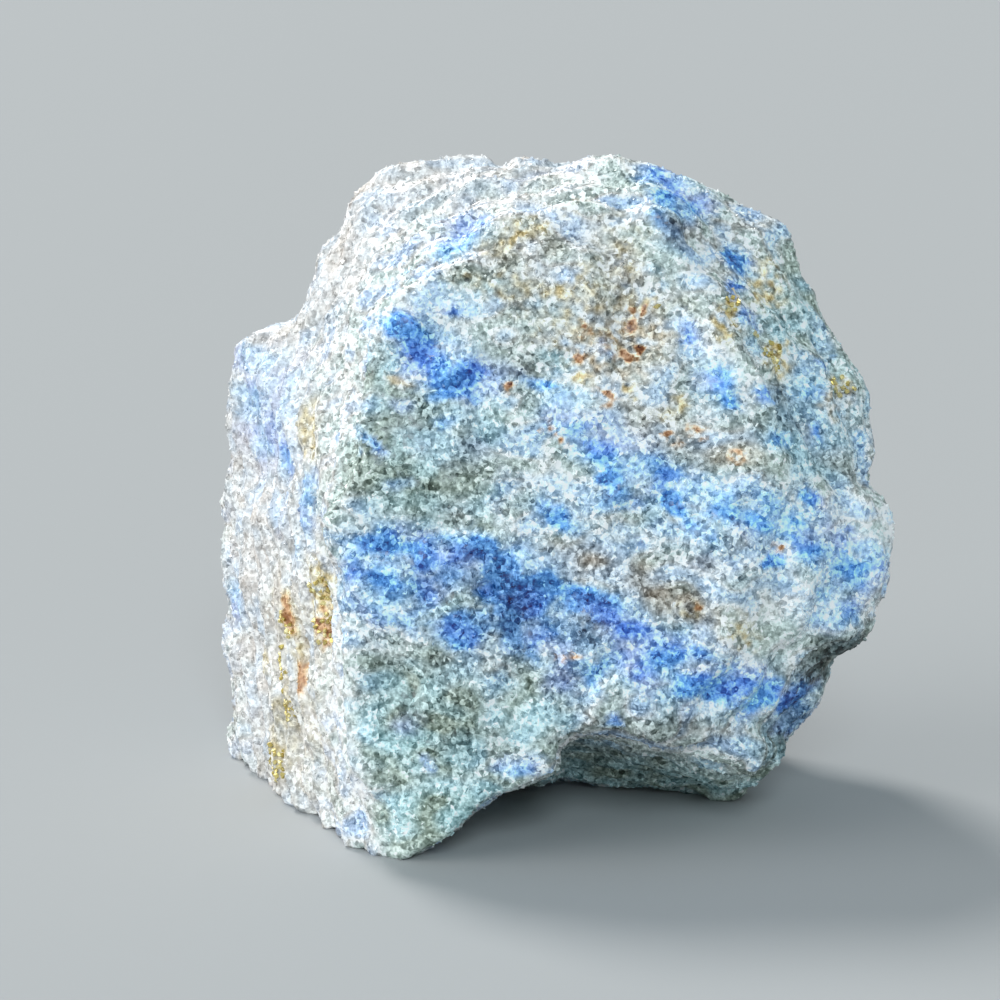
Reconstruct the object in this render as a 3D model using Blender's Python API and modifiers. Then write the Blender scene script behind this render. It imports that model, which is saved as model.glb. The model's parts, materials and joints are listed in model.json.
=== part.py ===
"""A rough chunk of lapis lazuli, broken from the rock on every side.

The stone is one solid. Blocks bounded by flat fractures are fused, hollows are struck out of them, and the
whole is then roughened by its rock texture and cut flat where it stands. Lengths in the lists are millimetres.
+Z is up and -Y is the front, where the widest fracture faces.
"""

import math

import bmesh
import bpy
from mathutils import Vector

MM = 0.001

# Driving dimensions, in millimetres
GRID = 0.7  # spacing of the grid that fuses the blocks into one skin
LAYERS_LEAN = 14.0  # degrees by which the rock's layers, and the front that split along them, lean back
LAYER_SPACING, LAYER_HEIGHT = 7.0, 0.55  # ledges where the layers end in the stone's sides
LUMP_SIZE, LUMP_HEIGHT = 12.0, 1.9  # broad swells of the broken faces
SCALLOP_SIZE, SCALLOP_HEIGHT = 7.5, 1.1  # shell-shaped flakes knocked off
CLUSTER_SIZE, CLUSTER_HEIGHT = 3.4, 0.6  # coarsest clusters of crystals
FACES = 9200  # triangles kept in the skin before its foot is cut flat

# The main block: corners of its fractures, each (x, y, z)
FRONT_RIDGE = [(-14.2, -23.0, -2.0), (-18.2, -20.5, 14.7), (-18.8, -18.4, 27.0), (-17.2, -16.9, 37.0)]
FRONT_TOP = [(-14.3, -14.2, 48.6), (-10.7, -12.7, 52.2), (1.1, -9.0, 58.0), (10.9, -4.0, 61.6)]
FRONT_RIGHT = [(9.0, -7.7, 59.0), (8.8, -11.4, 53.3), (13.4, -9.2, 53.6), (17.1, -13.2, 47.6), (18.8, -15.9, 40.4),
               (20.5, -17.8, 30.0), (20.3, -18.4, 22.0)]
RIM = [(4.7, -22.0, 10.6), (8.3, -21.8, 9.4), (13.9, -20.9, 7.4), (17.4, -19.8, 6.5), (20.4, -17.8, 8.8),
       (24.2, -12.4, 12.4)]
LEFT_SIDE = [(-23.8, -6.8, 37.8), (-23.2, -9.5, 31.0), (-33.0, 10.0, 20.4), (-31.9, 9.5, -2.0), (-18.3, -19.2, -2.0)]
TOP_LEFT = [(-23.3, 4.0, 47.5), (-22.4, 6.0, 53.2), (-18.5, 6.0, 58.4), (-15.7, 6.0, 60.4), (-12.0, 6.0, 61.3)]
TOP_RIGHT = [(-7.2, 5.0, 61.3), (4.2, 2.0, 60.8), (16.0, -2.0, 58.5), (19.6, -1.0, 57.1), (22.0, -2.0, 55.2)]
RIGHT_SIDE = [(23.4, -4.0, 50.4), (26.7, -5.0, 46.0), (29.0, -7.0, 41.5), (30.3, -8.0, 36.7)]
RIGHT_LOW = [(26.0, -6.0, 12.0), (25.4, -5.0, 9.6), (23.6, -4.0, 5.4), (20.8, -2.0, 2.4), (27.6, 2.0, 18.0)]
UNDERSIDE = [(17.6, -1.0, -2.0), (14.6, -2.0, -2.0), (9.4, -1.5, -2.0)]
BACK_LEFT = [(-26.0, 17.0, -2.0), (-28.0, 17.0, 28.0), (-21.0, 19.0, 44.0), (-8.0, 17.0, 55.0)]
BACK = [(-6.0, 24.0, 30.0), (-4.0, 21.5, -2.0), (14.0, 22.0, 34.0), (12.0, 17.5, -2.0), (27.5, 10.0, 20.0),
        (26.5, 9.0, 38.0), (12.0, 14.0, 52.0)]

# Smaller blocks fused to it
LEFT_SHOULDER = [(-30.4, 6.0, 43.2), (-30.9, 8.0, 41.5), (-25.2, 3.0, 46.0), (-22.0, 3.0, 48.0), (-23.8, -6.8, 37.8),
                 (-32.7, 10.0, 26.7), (-33.0, 10.0, 20.4), (-32.5, 10.0, 6.7), (-28.5, 17.0, 30.0),
                 (-27.5, 16.0, 40.0), (-15.0, 5.0, 40.0), (-15.0, 5.0, 10.0)]
RIGHT_LUMP = [(19.6, -16.2, 37.0), (22.2, -18.2, 26.0), (21.2, -18.2, 15.6), (23.6, -17.7, 18.2), (27.4, -15.9, 19.0),
              (30.2, -13.2, 19.5), (30.9, -13.2, 22.0), (31.3, -13.2, 24.3), (31.5, -12.8, 27.6), (31.2, -11.8, 29.8),
              (28.8, -9.0, 16.6), (30.4, 0.0, 30.0), (29.0, 0.0, 17.0), (12.0, -4.0, 36.0), (12.0, -4.0, 15.0)]

# Wedges struck out of the blocks, by their corners
FOOT_FLANK = [(-14.0, -24.0, -0.6), (-5.2, -24.0, 5.6), (-4.8, -24.0, 7.4), (1.5, -24.0, 9.6), (-6.0, -1.0, -0.2),
              (1.5, 0.0, 0.8), (-14.0, -36.0, -0.6), (1.5, -36.0, 9.6), (-5.0, -36.0, 7.4), (-14.0, -36.0, -8.0),
              (1.5, -36.0, -8.0), (-6.0, 0.0, -8.0), (1.5, 0.0, -8.0)]
UNDERCUT = [(0.6, -36.0, 19.8), (0.4, 1.5, 0.3), (9.0, -36.0, 20.4), (9.4, -3.6, 0.0), (15.5, -4.6, -0.3),
            (24.0, -34.0, 13.6), (21.0, -5.0, 0.0), (0.5, -36.0, -8.0), (0.4, 1.5, -8.0),
            (24.0, -34.0, -8.0), (21.0, -5.0, -8.0)]
LUMP_UNDERSIDE = [(20.8, -18.4, 15.4), (23.6, -17.6, 18.4), (27.2, -15.6, 19.2), (31.0, -12.6, 19.2),
                  (23.2, -13.0, 13.8), (26.4, -7.5, 13.0), (28.6, -8.0, 15.4), (20.8, -30.0, 15.4),
                  (27.2, -30.0, 19.2), (36.0, -12.6, 19.2), (20.5, -30.0, 12.5), (36.0, -7.5, 13.0)]
LOW_CORNER = [(17.0, -20.2, 12.2), (22.6, -18.2, 16.4), (26.6, -8.0, 12.6), (22.0, -8.0, 6.8), (25.2, -26.2, 5.7),
              (30.8, -24.2, 9.9), (34.8, -14.0, 6.1), (30.2, -14.0, 0.3)]
TOP_CORNER = [(9.2, -6.9, 60.3), (8.9, -12.2, 52.4), (17.0, -5.6, 55.6), (12.6, -13.0, 64.2), (12.3, -18.3, 56.3),
              (20.4, -11.7, 59.5)]
TOP_NOTCH = [(-7.0, -6.0, 63.0), (-4.4, -4.0, 60.4), (-1.5, -6.0, 63.0), (-7.0, 22.0, 63.0), (-4.4, 22.0, 58.0),
             (-1.0, 22.0, 63.0), (-7.0, -6.0, 66.0), (-1.0, 22.0, 66.0), (-7.0, 22.0, 66.0), (-1.5, -6.0, 66.0)]

# Hollows struck out of the blocks: centre, radii and turn about each axis in degrees
SCOOPS = {
    "back_scoop_high": ((-12.0, 33.0, 48.0), (17.0, 15.0, 15.0), (0, 0, 0)),
    "back_scoop_low": ((9.0, 33.0, 14.0), (19.0, 14.0, 15.0), (0, 20, 0)),
    "right_scoop": ((39.0, 10.0, 30.0), (11.0, 17.0, 16.0), (0, 0, 0)),
    "side_chip": ((32.0, -8.5, 33.4), (2.6, 7.0, 2.8), (0, 20, 0)),
    "front_pit": ((-6.0, -20.2, 24.6), (1.6, 2.2, 1.2), (0, 15, 0)),
    "front_dent": ((1.2, -15.6, 45.0), (2.6, 1.6, 1.4), (0, -15, 0)),
}
GROUND = 80.0  # side of the slab below the stone that cuts its standing face


def new_object(name, shape, collection):
    mesh = bpy.data.meshes.new(name)
    shape.to_mesh(mesh)
    shape.free()
    made = bpy.data.objects.new(name, mesh)
    collection.objects.link(made)
    return made


def block(name, corners, collection):
    """A closed block with flat fractures between its corners."""
    shape = bmesh.new()
    for corner in corners:
        shape.verts.new(Vector(corner) * MM)
    hull = bmesh.ops.convex_hull(shape, input=shape.verts)
    inside = [item for item in hull["geom_interior"] if isinstance(item, bmesh.types.BMVert)]
    bmesh.ops.delete(shape, geom=inside, context="VERTS")
    bmesh.ops.recalc_face_normals(shape, faces=shape.faces)
    return new_object(name, shape, collection)


def scoop(name, centre, radii, turn, collection):
    """A rounded cutter, for the shell-shaped hollow that a blow leaves."""
    shape = bmesh.new()
    bmesh.ops.create_icosphere(shape, subdivisions=3, radius=1.0)
    made = new_object(name, shape, collection)
    made.location = Vector(centre) * MM
    made.rotation_euler = [math.radians(angle) for angle in turn]
    made.scale = Vector(radii) * MM
    return made


def ground(collection):
    """The slab whose top is the level that the stone stands on."""
    shape = bmesh.new()
    bmesh.ops.create_cube(shape, size=GROUND * MM)
    made = new_object("ground", shape, collection)
    made.location.z = -GROUND * MM / 2
    return made


def combine(stone, helper, operation):
    """Joins a helper to the stone or cuts it out, and keeps the helper itself out of the finished part."""
    helper.hide_render = True
    helper.display_type = "WIRE"
    step = stone.modifiers.new(operation.lower() + " " + helper.name, "BOOLEAN")
    step.operation = operation
    step.object = helper


def roughen(stone, texture, size, height):
    """Raises and sinks the skin along its normals by a rock texture of the given size and height."""
    texture.noise_scale = size * MM
    push = stone.modifiers.new(texture.name, "DISPLACE")
    push.texture = texture
    push.texture_coords = "LOCAL"
    push.strength = height * MM
    push.mid_level = 0.5


def ledges(stone, collection):
    """Low steps where the rock's layers end. A wood texture bands along its own (1, 1, 1), so a guide turns that."""
    band_period = 2 * math.pi / 10 / math.sqrt(3)  # of Blender's wood texture, along (1, 1, 1)
    lean = math.radians(LAYERS_LEAN)
    across = Vector((0, -math.cos(lean), math.sin(lean)))
    guide = bpy.data.objects.new("layers", None)
    collection.objects.link(guide)
    guide.rotation_euler = Vector((1, 1, 1)).rotation_difference(across).to_euler()
    guide.scale = [LAYER_SPACING * MM / band_period] * 3
    texture = bpy.data.textures.new("ledges", "WOOD")
    texture.wood_type = "BANDNOISE"
    texture.noise_basis_2 = "TRI"
    texture.turbulence = 6.0
    texture.noise_scale = 1.2
    push = stone.modifiers.new("ledges", "DISPLACE")
    push.texture = texture
    push.texture_coords = "OBJECT"
    push.texture_coords_object = guide
    push.strength = LAYER_HEIGHT * MM
    push.mid_level = 0.5


def rock_material():
    material = bpy.data.materials.new("lapis lazuli, broken")
    material.use_nodes = True
    shader = material.node_tree.nodes["Principled BSDF"]
    shader.inputs["Base Color"].default_value = (0.27, 0.34, 0.42, 1.0)
    shader.inputs["Roughness"].default_value = 0.7
    shader.inputs["Metallic"].default_value = 0.0
    return material


def measure(stone):
    """The number of triangles in the stone so far, and the lowest and highest corners of its box."""
    evaluated = stone.evaluated_get(bpy.context.evaluated_depsgraph_get())
    mesh = evaluated.to_mesh()
    mesh.calc_loop_triangles()
    count = len(mesh.loop_triangles)
    points = [stone.matrix_world @ vertex.co for vertex in mesh.vertices]
    low = Vector([min(point[axis] for point in points) for axis in range(3)])
    high = Vector([max(point[axis] for point in points) for axis in range(3)])
    evaluated.to_mesh_clear()
    return count, low, high


def stand_on_origin(stone, collection):
    """Hangs the stone and its helpers on one empty, which puts the middle of the base at the origin."""
    low, high = measure(stone)[1:]
    stand = bpy.data.objects.new("stand_point", None)
    for thing in [stone] + list(collection.objects):
        thing.parent = stand
    collection.objects.link(stand)
    stand.location = (-(low.x + high.x) / 2, -(low.y + high.y) / 2, -low.z)


def main():
    for old in list(bpy.data.objects):
        bpy.data.objects.remove(old)
    parts = bpy.data.collections.new("rough lapis lazuli")
    helpers = bpy.data.collections.new("helpers")
    bpy.context.scene.collection.children.link(parts)
    bpy.context.scene.collection.children.link(helpers)

    front = FRONT_RIDGE + FRONT_TOP + FRONT_RIGHT + RIM
    sides = LEFT_SIDE + TOP_LEFT + TOP_RIGHT + RIGHT_SIDE + RIGHT_LOW
    stone = block("lapis_lazuli", front + sides + UNDERSIDE + BACK_LEFT + BACK, parts)
    stone.data.materials.append(rock_material())
    combine(stone, block("left_shoulder", LEFT_SHOULDER, helpers), "UNION")
    combine(stone, block("right_lump", RIGHT_LUMP, helpers), "UNION")
    combine(stone, block("foot_flank", FOOT_FLANK, helpers), "DIFFERENCE")
    combine(stone, block("undercut", UNDERCUT, helpers), "DIFFERENCE")
    combine(stone, block("lump_underside", LUMP_UNDERSIDE, helpers), "DIFFERENCE")
    combine(stone, block("low_corner", LOW_CORNER, helpers), "DIFFERENCE")
    combine(stone, block("top_corner", TOP_CORNER, helpers), "DIFFERENCE")
    combine(stone, block("top_notch", TOP_NOTCH, helpers), "DIFFERENCE")
    for name, (centre, radii, turn) in SCOOPS.items():
        combine(stone, scoop(name, centre, radii, turn, helpers), "DIFFERENCE")

    skin = stone.modifiers.new("one skin", "REMESH")
    skin.mode = "VOXEL"
    skin.voxel_size = GRID * MM
    ease = stone.modifiers.new("worn edges", "SMOOTH")
    ease.factor = 0.5
    ease.iterations = 1
    roughen(stone, bpy.data.textures.new("lumps", "CLOUDS"), LUMP_SIZE, LUMP_HEIGHT)
    roughen(stone, bpy.data.textures.new("scallops", "VORONOI"), SCALLOP_SIZE, -SCALLOP_HEIGHT)
    ledges(stone, helpers)
    roughen(stone, bpy.data.textures.new("clusters", "CLOUDS"), CLUSTER_SIZE, CLUSTER_HEIGHT)
    thin = stone.modifiers.new("fewer faces", "DECIMATE")
    thin.ratio = FACES / measure(stone)[0]
    combine(stone, ground(helpers), "DIFFERENCE")
    stand_on_origin(stone, helpers)
    bpy.context.view_layer.update()


main()
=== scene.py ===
"""Rough lapis lazuli: a broken lump of blue lazurite in white calcite and grey-green diopside, with pyrite.

The lump starts from the frame's solid and gets the fine relief of a fresh fracture. Three coats of small
broken crystals, each a few flat facets, are then grown over it, so that its sugary surface is geometry. One
layout of minerals, set out along the rock's own layers, colours the lump and every grain on it, and paints
highlight, glare and shade on it in places.
"""
import json
import math

import bpy
import numpy as np
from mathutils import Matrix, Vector, noise

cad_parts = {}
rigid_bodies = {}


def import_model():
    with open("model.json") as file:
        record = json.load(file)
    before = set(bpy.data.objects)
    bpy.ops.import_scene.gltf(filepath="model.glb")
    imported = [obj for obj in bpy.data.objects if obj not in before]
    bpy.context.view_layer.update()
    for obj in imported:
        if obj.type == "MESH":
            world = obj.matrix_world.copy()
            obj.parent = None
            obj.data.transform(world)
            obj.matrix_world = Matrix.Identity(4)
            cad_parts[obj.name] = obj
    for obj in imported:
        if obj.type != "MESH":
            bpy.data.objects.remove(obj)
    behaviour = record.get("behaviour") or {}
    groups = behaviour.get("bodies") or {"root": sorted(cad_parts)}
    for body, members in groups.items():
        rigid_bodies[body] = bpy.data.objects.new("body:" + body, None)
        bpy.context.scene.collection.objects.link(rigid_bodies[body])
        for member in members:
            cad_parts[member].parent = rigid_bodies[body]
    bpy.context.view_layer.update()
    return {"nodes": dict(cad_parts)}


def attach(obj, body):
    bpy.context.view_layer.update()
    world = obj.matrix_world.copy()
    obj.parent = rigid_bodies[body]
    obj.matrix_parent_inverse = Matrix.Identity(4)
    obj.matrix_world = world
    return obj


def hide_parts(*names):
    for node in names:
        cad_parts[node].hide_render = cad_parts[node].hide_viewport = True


MM = 0.001

# The rock's layers lie along the front face and lean back with it, and run down to the right across it.
LAYERS_LEAN = 14.0
LAYERS_DIP = 24.0
# The front face itself, up to where it bends away at the top and the right, leans back a little less.
FRONT_NORMAL = (0.0, -0.987, 0.163)

# Fine relief of the lump, in millimetres, and how much the ledges wander.
SKIN_GRID = 0.42
LEDGE_SPACING, LEDGE_HEIGHT = 2.4, 0.7
LEDGE_WANDER, LEDGE_TURBULENCE = 1.2, 6.0
CHIP_SIZE, CHIP_DEPTH = 4.0, 0.7
CRUMB_SIZE, CRUMB_HEIGHT = 1.3, 0.34

# Broken crystals, a millimetre across: facets round, rings of them and the stretch, and how far their corners
# may be off, in millimetres.
CRYSTALS = {
    "bead": (4, 2, (1.0, 1.0, 0.9)),
    "splinter": (4, 2, (1.2, 0.85, 0.75)),
    "cube": (4, 3, (0.95, 0.95, 0.95)),
}
CRYSTAL_SKEW = 0.14
# Coats of grains, in millimetres: a middling grain's size, and how deep its middle is sunk at most and at
# least. The rock's grains are 0.4 to 0.9 mm across, and all coats together cover the skin.
COATS = {
    "coarse_grains": dict(size=0.84, sink=(0.40, 0.22), seed=3),
    "medium_grains": dict(size=0.68, sink=(0.30, 0.13), seed=11),
    "fine_grains": dict(size=0.54, sink=(0.22, 0.07), seed=23),
}
GRAIN_SPACING = 0.73
# The smallest and the largest grain of a coat, beside the middling one.
GRAIN_RANGE = (0.7, 1.2)
# Points tried on each square metre, of which the spacing keeps as many as fit.
POINTS_TRIED = 5e6
# Each grain has its own square on the coat's UV map, so that it keeps one colour when the map is baked.
CELLS = 158
CELL_FILL, CELL_MARGIN = 0.8, 0.1
# No grain grows lower than this, so that the lump stands on its own flat underside.
BASE_BARE = 0.65

# Patches on the front, in millimetres across and up the layers: the middle, half the length and width, the
# turn down to the right in degrees, and how much of the rock is that mineral there.
FRONT_PATCHES = {
    "lazurite": [
        # the broad blue tints that the bands lie in
        ((-14.6, 20.2), (5.6, 5.4), 0, 0.6),
        ((-8.4, 22.0), (5.4, 2.8), 0, 0.6),
        ((-2.4, 18.4), (4.8, 6.2), 10, 0.62),
        ((3.0, 15.0), (6.2, 5.2), 22, 0.46),
        ((9.5, 13.0), (6.8, 4.6), 28, 0.55),
        ((17.0, 10.6), (5.6, 3.4), 12, 0.55),
        ((3.4, 33.6), (6.2, 2.8), 48, 0.52),
        ((9.4, 29.6), (6.0, 3.2), 25, 0.5),
        ((17.6, 26.6), (8.0, 2.9), 18, 0.54),
        ((27.2, 22.4), (5.6, 3.6), 20, 0.5),
        ((17.0, 22.2), (8.0, 2.8), 18, 0.3),
        ((26.0, 17.6), (4.4, 3.4), 0, 0.32),
        ((15.4, 37.6), (3.8, 2.8), 60, 0.4),
        ((-9.6, 39.8), (6.0, 4.0), 35, 0.42),
        ((-4.2, 38.4), (3.4, 1.8), 5, 0.42),
        ((25.0, 35.0), (6.0, 5.0), 20, 0.28),
        ((1.0, 26.4), (5.0, 1.8), 28, 0.35),
        ((-9.0, 33.0), (5.0, 3.0), 20, 0.22),
        # lower band, left to right
        ((-16.6, 22.4), (2.6, 2.4), 0, 0.65),
        ((-14.6, 23.2), (3.0, 1.9), 10, 0.85),
        ((-14.0, 20.4), (2.8, 1.8), 0, 0.75),
        ((-10.8, 22.2), (3.0, 2.8), 0, 0.80),
        ((-8.4, 20.8), (2.0, 2.6), 0, 0.70),
        ((-6.0, 22.6), (2.2, 2.3), 30, 1.0),
        ((-4.0, 21.2), (1.8, 2.0), 30, 1.0),
        ((-3.0, 18.4), (3.0, 4.4), 0, 1.0),
        ((-0.6, 18.6), (2.6, 3.2), 20, 0.95),
        ((-1.0, 14.9), (2.0, 2.8), 0, 0.85),
        ((-3.0, 15.0), (1.6, 2.4), 0, 0.75),
        ((3.0, 18.2), (2.4, 1.5), 20, 1.0),
        ((5.6, 17.2), (2.6, 1.6), 30, 0.8),
        ((-7.4, 15.6), (3.4, 2.0), 0, 0.9),
        ((-11.2, 19.4), (2.6, 2.0), 20, 0.7),
        ((-6.0, 18.6), (1.4, 1.3), 0, 0.7),
        ((-11.9, 17.4), (1.4, 3.0), 0, 0.5),
        ((-16.6, 17.2), (1.8, 1.1), 0, 0.45),
        ((2.6, 12.6), (2.2, 1.6), 30, 0.5),
        ((4.9, 11.6), (1.6, 2.6), 10, 0.6),
        ((5.0, 14.4), (1.6, 1.2), 0, 0.5),
        ((8.6, 15.0), (2.8, 1.8), 30, 0.75),
        ((8.4, 12.2), (1.3, 1.8), 0, 0.6),
        ((11.0, 13.2), (2.6, 1.8), 45, 0.8),
        ((12.4, 10.8), (2.4, 1.7), 35, 0.75),
        ((14.4, 13.2), (2.0, 1.2), 30, 0.7),
        ((15.2, 10.2), (2.2, 1.8), 30, 0.82),
        ((17.8, 9.6), (3.0, 2.2), 15, 0.82),
        ((20.4, 9.8), (2.4, 1.8), -20, 0.78),
        ((15.2, 7.4), (1.8, 1.2), 0, 0.4),
        ((1.6, 10.4), (2.8, 2.0), 20, 0.45),
        # upper band, left to right
        ((-0.8, 37.8), (2.8, 0.8), 5, 0.65),
        ((2.6, 34.2), (2.3, 1.5), 55, 0.52),
        ((4.8, 31.8), (2.6, 1.6), 45, 0.68),
        ((6.2, 29.4), (1.8, 1.4), 0, 0.75),
        ((6.8, 27.4), (2.4, 1.5), 10, 0.65),
        ((9.4, 31.0), (1.6, 1.0), 20, 0.45),
        ((11.4, 29.6), (2.4, 1.3), -10, 0.85),
        ((11.4, 27.2), (1.6, 1.8), 0, 1.0),
        ((13.6, 24.6), (2.4, 1.4), 30, 0.6),
        ((13.6, 28.0), (1.5, 0.9), 0, 0.5),
        ((16.4, 26.2), (3.6, 1.9), 12, 0.75),
        ((19.4, 25.2), (2.6, 1.4), 25, 0.75),
        ((21.8, 24.8), (2.6, 1.7), 30, 0.66),
        ((23.6, 23.0), (2.4, 1.8), 40, 0.7),
        ((27.4, 21.2), (3.0, 1.9), 15, 0.72),
        ((30.4, 20.6), (2.4, 2.6), 0, 0.55),
        ((27.8, 23.4), (2.4, 1.0), 25, 0.6),
        ((24.4, 27.2), (1.8, 0.9), 35, 0.75),
        ((28.4, 25.2), (1.1, 0.8), 0, 0.5),
        ((25.0, 18.8), (1.5, 2.0), -20, 0.5),
        ((28.0, 17.2), (2.4, 1.5), 0, 0.6),
        ((16.4, 22.0), (1.6, 1.1), 0, 0.5),
        ((20.8, 21.4), (0.8, 1.0), 0, 0.8),
        ((8.9, 23.4), (0.9, 0.8), 0, 0.6),
        ((1.4, 25.6), (3.4, 1.1), 28, 0.7),
        ((-3.8, 27.8), (1.0, 2.4), 0, 0.3),
        # patch under the left end of the top edge
        ((-13.0, 42.6), (2.4, 1.9), 20, 0.85),
        ((-11.6, 40.6), (2.8, 2.0), 40, 0.95),
        ((-9.4, 38.4), (2.8, 2.1), 55, 1.0),
        ((-9.5, 36.4), (1.1, 1.4), 0, 0.8),
        ((-6.9, 38.4), (2.6, 2.6), -10, 0.84),
        ((-4.6, 38.0), (1.6, 1.8), 0, 0.55),
        ((-8.0, 44.2), (1.4, 1.1), 0, 0.6),
        ((-12.4, 35.2), (1.4, 0.9), 0, 0.35),
        ((-8.8, 33.9), (1.5, 0.8), 0, 0.65),
        ((-16.0, 32.4), (0.8, 1.8), -30, 0.6),
        ((-12.8, 28.6), (1.0, 1.1), 40, 0.4),
        # paler patches and flecks towards the right
        ((12.8, 42.4), (1.9, 1.0), 70, 0.65),
        ((14.0, 38.2), (1.8, 1.4), 0, 0.4),
        ((15.8, 37.8), (1.8, 1.6), 30, 0.8),
        ((16.8, 36.0), (1.5, 1.1), 30, 0.65),
        ((5.6, 40.9), (0.9, 1.0), 0, 0.5),
        ((20.3, 36.6), (1.4, 1.2), 0, 0.75),
        ((24.8, 37.0), (1.5, 1.3), 0, 0.6),
        ((23.8, 38.6), (1.1, 1.1), 0, 0.35),
        ((25.2, 33.4), (0.9, 1.6), 0, 0.6),
        ((21.4, 32.8), (1.6, 1.3), 0, 0.55),
        ((26.4, 40.2), (0.9, 0.9), 0, 0.65),
        ((29.6, 32.4), (1.0, 1.4), 0, 0.5),
        ((17.3, 46.4), (0.8, 1.0), 0, 0.7),
        ((18.6, 43.8), (1.0, 1.2), 0, 0.5),
        # foot
        ((-2.8, 3.4), (2.4, 1.1), -10, 0.5),
        ((-10.6, 3.2), (1.1, 0.9), 0, 0.55),
        ((-12.4, 6.6), (1.8, 1.3), 0, 0.3),
        ((6.2, 7.6), (0.9, 0.9), 0, 0.5),
    ],
    "diopside": [
        ((6.0, 28.0), (34.0, 34.0), 0, 0.22),
        # grey-green diopside over the upper left of the front, partly standing in for the shade where it
        # turns from the light
        ((-11.5, 31.0), (7.6, 8.0), 0, 1.0),
        ((-14.6, 38.4), (2.0, 3.6), -20, 0.85),
        ((-5.6, 27.0), (2.6, 3.6), 0, 0.75),
        ((-5.2, 34.4), (3.2, 3.2), 0, 0.8),
        ((-8.8, 17.6), (2.6, 2.8), 0, 0.95),
        ((-11.0, 7.0), (8.4, 8.4), 0, 1.0),
        ((-1.6, 7.6), (5.4, 5.0), 0, 0.8),
        ((-9.0, -1.0), (9.0, 5.5), 0, 1.0),
        ((0.6, 39.8), (2.8, 1.7), -10, 0.85),
        ((-5.6, 47.4), (4.2, 2.6), -20, 0.85),
        ((0.5, 43.8), (3.4, 3.0), 0, 0.5),
        ((22.5, 45.5), (5.2, 7.5), 15, 0.8),
        ((24.0, 34.0), (6.5, 7.0), 20, 0.85),
        ((28.0, 38.0), (4.5, 8.0), 20, 0.75),
        ((10.8, 48.6), (2.6, 3.4), 0, 0.65),
        ((9.2, 26.4), (1.9, 2.5), 0, 0.7),
        ((13.0, 31.4), (3.4, 1.7), 20, 0.5),
    ],
    "smoky": [
        ((4.0, 21.4), (5.4, 2.3), 15, 0.95),
        ((8.6, 19.6), (3.8, 2.3), 15, 0.95),
        ((12.6, 17.6), (3.6, 2.0), 10, 0.95),
        ((13.4, 20.6), (4.4, 2.6), 0, 0.35),
        ((18.6, 22.4), (2.8, 1.8), 0, 0.55),
        ((9.8, 34.2), (3.6, 3.2), 0, 0.6),
        ((6.8, 36.6), (3.2, 2.8), 0, 0.45),
        ((1.2, 41.8), (3.4, 1.6), -10, 0.6),
        ((6.4, 48.6), (3.2, 2.6), 0, 0.95),
        ((14.6, 32.4), (3.8, 1.8), 20, 0.65),
        ((18.2, 32.0), (2.2, 1.8), 0, 0.55),
        ((1.0, 47.4), (5.4, 2.8), 0, 0.65),
        ((7.0, 43.0), (6.0, 6.0), 0, 0.62),
        ((-1.6, 22.6), (2.6, 1.0), 25, 0.45),
    ],
    "ochre": [
        ((0.0, 49.2), (9.0, 5.0), -8, 0.5),
        ((4.6, 43.4), (8.0, 6.0), 0, 0.3),
        ((-1.6, 51.4), (3.4, 2.0), -25, 0.4),
        ((6.4, 48.8), (3.4, 3.0), 0, 0.3),
        ((2.0, 48.0), (4.0, 2.6), 0, 0.25),
        ((16.6, 43.0), (1.4, 3.0), -8, 0.5),
        ((21.6, 40.2), (1.8, 2.4), 10, 0.7),
        ((27.4, 37.8), (1.7, 1.7), 0, 0.6),
        ((27.0, 36.0), (2.4, 1.6), 0, 0.4),
        ((17.2, 45.2), (1.1, 0.9), 0, 0.8),
        ((20.6, 47.4), (2.4, 3.8), 10, 0.4),
        ((3.4, 38.2), (1.4, 1.3), 0, 0.65),
        ((8.0, 37.2), (1.4, 1.1), 0, 0.5),
        ((11.8, 35.6), (1.8, 1.3), 0, 0.4),
        ((17.8, 15.0), (2.8, 1.7), 20, 0.4),
        ((12.6, 17.2), (2.0, 1.3), 0, 0.45),
        ((-12.6, 38.0), (1.3, 1.0), 0, 0.55),
        ((7.8, 13.2), (0.9, 2.0), 0, 0.45),
        ((4.0, 15.9), (1.1, 0.6), 0, 0.75),
        ((-4.6, 49.0), (1.8, 1.1), -20, 0.75),
        ((8.8, 44.8), (2.0, 1.2), -20, 0.7),
        ((1.4, 45.8), (1.1, 0.8), 0, 0.65),
    ],
    "rust": [
        ((0.7, 33.5), (0.6, 0.6), 0, 0.6),
        ((1.8, 32.3), (0.7, 0.6), 0, 0.6),
        ((3.4, 40.2), (0.7, 0.8), 0, 0.7),
        ((3.5, 42.2), (0.6, 0.9), 0, 0.8),
        ((5.1, 36.5), (0.9, 0.7), 20, 0.7),
        ((7.2, 40.5), (0.8, 0.7), 0, 1.0),
        ((8.8, 40.9), (0.8, 0.6), 0, 0.9),
        ((7.6, 43.8), (0.7, 1.2), 0, 0.8),
        ((9.2, 44.4), (1.2, 0.7), -30, 0.8),
        ((14.0, 33.6), (1.1, 0.5), 10, 0.6),
        ((11.3, 33.0), (0.8, 0.7), 0, 0.8),
        ((-3.4, 37.0), (0.6, 0.6), 0, 0.8),
        ((17.4, 31.4), (0.9, 0.7), 0, 0.6),
        ((13.8, 17.4), (0.6, 0.5), 0, 0.5),
        ((21.0, 22.5), (0.6, 0.6), 0, 0.7),
        ((2.2, 12.5), (0.5, 0.5), 0, 0.5),
        ((6.4, 41.6), (4.6, 4.2), 0, 0.16),
    ],
    "marble_and_glare": [
        # marble along the sunlit ridge between the left and front faces, kept even there as painted glare
        ((-18.2, 0.5), (10.5, 2.3), 77, 1.0),
        ((-19.6, 14.0), (6.0, 1.3), 88, 1.0),
    ],
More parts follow.
